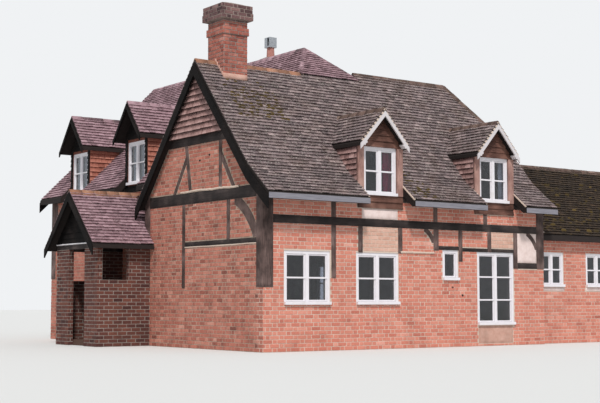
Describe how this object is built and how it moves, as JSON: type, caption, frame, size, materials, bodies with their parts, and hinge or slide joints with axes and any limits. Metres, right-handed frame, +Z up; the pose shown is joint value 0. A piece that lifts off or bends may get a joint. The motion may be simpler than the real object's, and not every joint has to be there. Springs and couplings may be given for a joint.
{
  "type": "half timbered house",
  "caption": "Timber framed brick and tile farmhouse with a hipped rear wing, tiled dormers, gabled brick porch, corbelled chimney and a lower side wing.",
  "frame": {"origin": "outer corner of the front wall and the left gable, at the ground, on the flat underside of the walls", "axes": "+X right along the front wall, +Y back into the house, +Z up"},
  "size_m": [14.341, 11.045, 7.89],
  "materials": {
    "floor_boards": "waxed boards",
    "front_brick": "salmon red brick in pale lime mortar",
    "gable_brick": "weathered orange brown brick",
    "chimney_brick": "soot-stained red brick",
    "porch_brick": "dark brick with wide pale joints",
    "paving_brick": "worn paving brick",
    "plaster_panels": "limewashed lime plaster",
    "oak_timber": "weathered and blackened oak",
    "dark_boards": "dark stained boards",
    "weather_boards": "brown weathered boards",
    "white_paint": "white gloss paint on wood",
    "hung_tiles": "orange red clay tile hanging",
    "roof_tiles": "handmade clay plain tiles with lichen",
    "terracotta": "unglazed terracotta",
    "window_glass": "clear drawn glass"
  },
  "bodies": {
    "root": {"range_floors": "floor_boards", "wing_floors": "floor_boards", "front_wall": "front_brick", "gable_wall": "gable_brick", "end_wall": "front_brick", "back_wall": "front_brick", "front_infill": "plaster_panels", "gable_infill": "gable_brick", "front_posts": "oak_timber", "front_rails": "oak_timber", "gable_studs": "oak_timber", "gable_beams": "oak_timber", "frame_braces": "oak_timber", "gable_tiles": "hung_tiles", "main_roof": "roof_tiles", "main_bargeboards": "dark_boards", "wing_side_walls": "front_brick", "wing_back_wall": "front_brick", "wing_infill": "gable_brick", "wing_posts": "oak_timber", "wing_rails": "oak_timber", "wing_roof": "roof_tiles", "wing_bargeboards": "dark_boards", "front_dormer_walls": "weather_boards", "front_dormer_roofs": "roof_tiles", "front_dormer_bargeboards": "white_paint", "wing_dormer_walls": "hung_tiles", "wing_dormer_roofs": "roof_tiles", "wing_dormer_bargeboards": "dark_boards", "ground_windows": "white_paint", "upper_windows": "white_paint", "ground_glass": "window_glass", "upper_glass": "window_glass", "main_chimney": "chimney_brick", "rear_chimney": "chimney_brick", "chimney_pot": "terracotta", "porch_walls": "porch_brick", "porch_frame": "oak_timber", "porch_gable": "dark_boards", "porch_roof": "roof_tiles", "porch_bargeboards": "dark_boards", "porch_floor": "paving_brick", "door_frame": "dark_boards", "front_door": "dark_boards", "extension_side_walls": "front_brick", "extension_end_wall": "front_brick", "extension_roof": "roof_tiles"}
  },
  "joints": []
}
